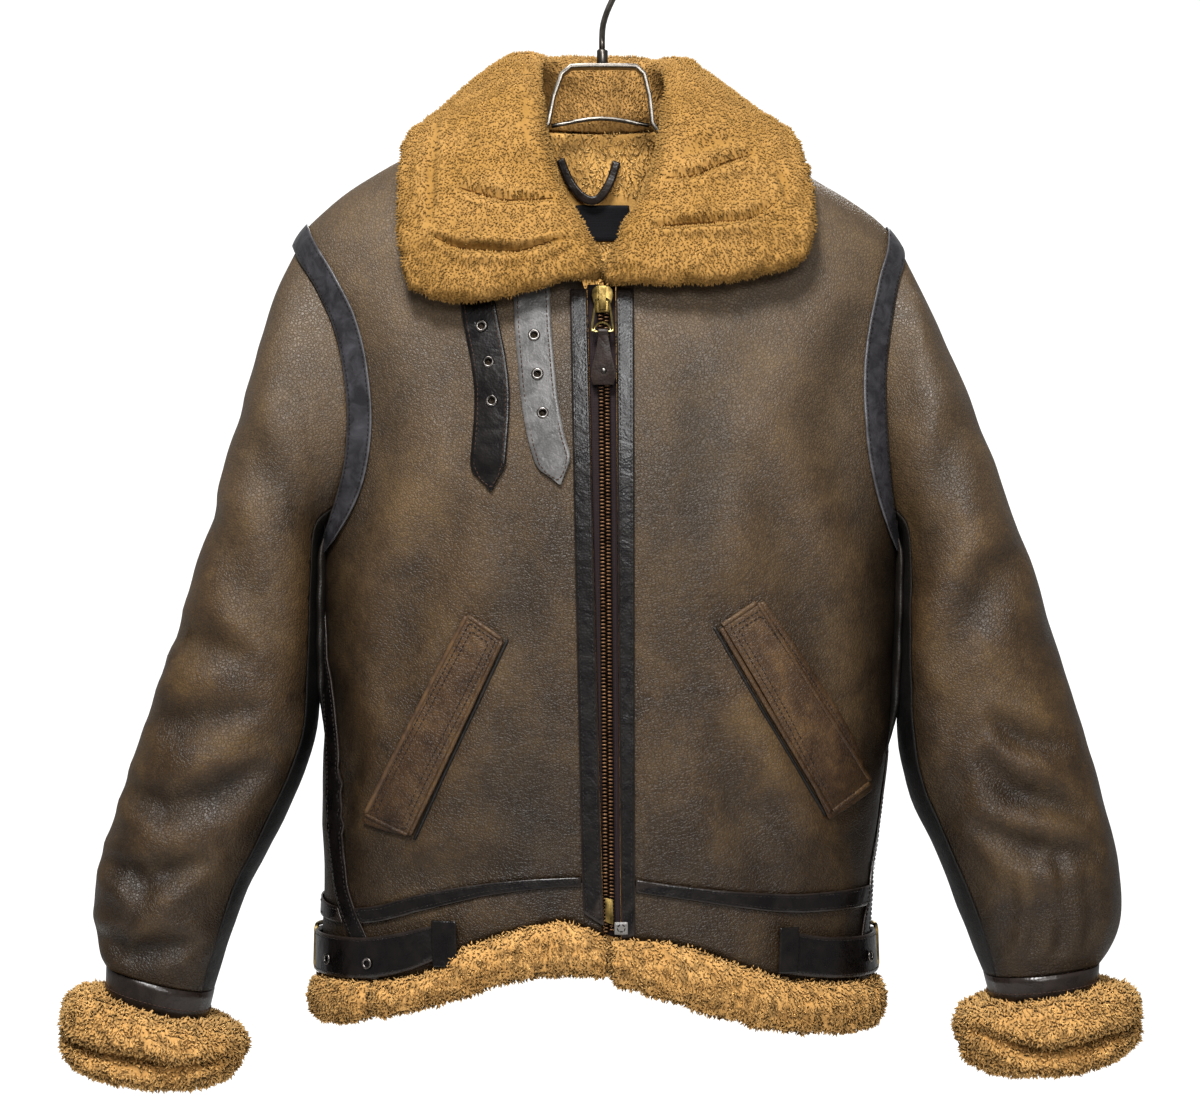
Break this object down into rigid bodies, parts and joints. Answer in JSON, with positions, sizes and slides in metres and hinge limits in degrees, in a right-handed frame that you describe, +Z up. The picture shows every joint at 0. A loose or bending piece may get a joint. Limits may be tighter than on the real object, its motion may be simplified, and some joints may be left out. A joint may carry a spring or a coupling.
{
  "type": "shearling coat on a hanger",
  "caption": "Short sheepskin flying jacket with a wide fleece collar, fleece hem and cuffs, zip front and slanted pockets, on a bent steel hanger.",
  "frame": {"origin": "inside the top of the hanger's hook, where a rail bears", "axes": "+X to the wearer's left, +Y to the back of the coat, +Z up; the front faces -Y"},
  "size_m": [0.8014, 0.2174, 0.8634],
  "materials": {
    "hide": "mottled brown and khaki, semi-gloss, shearling leather side",
    "trim": "near-black, semi-gloss",
    "grey_trim": "worn dark grey, semi-gloss",
    "fleece": "dense amber wool",
    "zip_cloth": "dark purple-brown woven tape",
    "label_cloth": "plain black woven cloth",
    "zip_metal": "dull copper-brown teeth",
    "brass": "worn satin",
    "eyelet_metal": "dark satin",
    "hanger_steel": "satin wire and flat band"
  },
  "bodies": {
    "coat": {"front_right": "hide", "front_left": "hide", "back": "hide", "hem_panel_right": "hide", "hem_panel_left": "hide", "hem_panel_back": "hide", "top_sleeve_right": "hide", "top_sleeve_left": "hide", "under_sleeve_right": "hide", "under_sleeve_left": "hide", "pocket_welt_right": "hide", "pocket_welt_left": "hide", "waist_tape_right": "trim", "waist_tape_left": "trim", "waist_tape_back": "trim", "side_tape_right": "trim", "side_tape_left": "trim", "armhole_tape_right": "trim", "armhole_tape_left": "trim", "zip_facing_right": "trim", "zip_facing_left": "trim", "cuff_band_right": "trim", "cuff_band_left": "trim", "zip_end_tab": "trim", "collar_strap_outer": "trim", "hem_strap_right": "trim", "hem_strap_left": "trim", "hem_chape_right": "trim", "hem_chape_left": "trim", "hanger_loop": "trim", "collar_strap_inner": "grey_trim", "collar": "fleece", "hem_fleece_right": "fleece", "hem_fleece_left": "fleece", "hem_fleece_back": "fleece", "cuff_fleece_right": "fleece", "cuff_fleece_left": "fleece", "zip_tape": "zip_cloth", "neck_label": "label_cloth", "zip_chain": "zip_metal", "zip_slider": "brass", "zip_box": "brass", "hem_buckle_right": "brass", "hem_buckle_left": "brass", "outer_strap_eyelet_1": "eyelet_metal", "outer_strap_eyelet_2": "eyelet_metal", "outer_strap_eyelet_3": "eyelet_metal", "inner_strap_eyelet_1": "eyelet_metal", "inner_strap_eyelet_2": "eyelet_metal", "inner_strap_eyelet_3": "eyelet_metal", "hanger_hook": "hanger_steel", "hanger_ferrule": "hanger_steel", "hanger_band": "hanger_steel", "hanger_rod": "hanger_steel"},
    "bail": {"zip_bail": "brass"},
    "pull": {"zip_pull": "trim"}
  },
  "joints": [
    {"name": "bail_swing", "type": "hinge", "parent": "coat", "child": "bail", "pos_m": [-0.0005, -0.09037, -0.2835], "axis": [-1, 0, 0], "range_deg": [0, 80]},
    {"name": "pull_swing", "type": "hinge", "parent": "bail", "child": "pull", "pos_m": [-0.0005, -0.09595, -0.30766], "axis": [-1, 0, 0], "range_deg": [0, 60]}
  ]
}
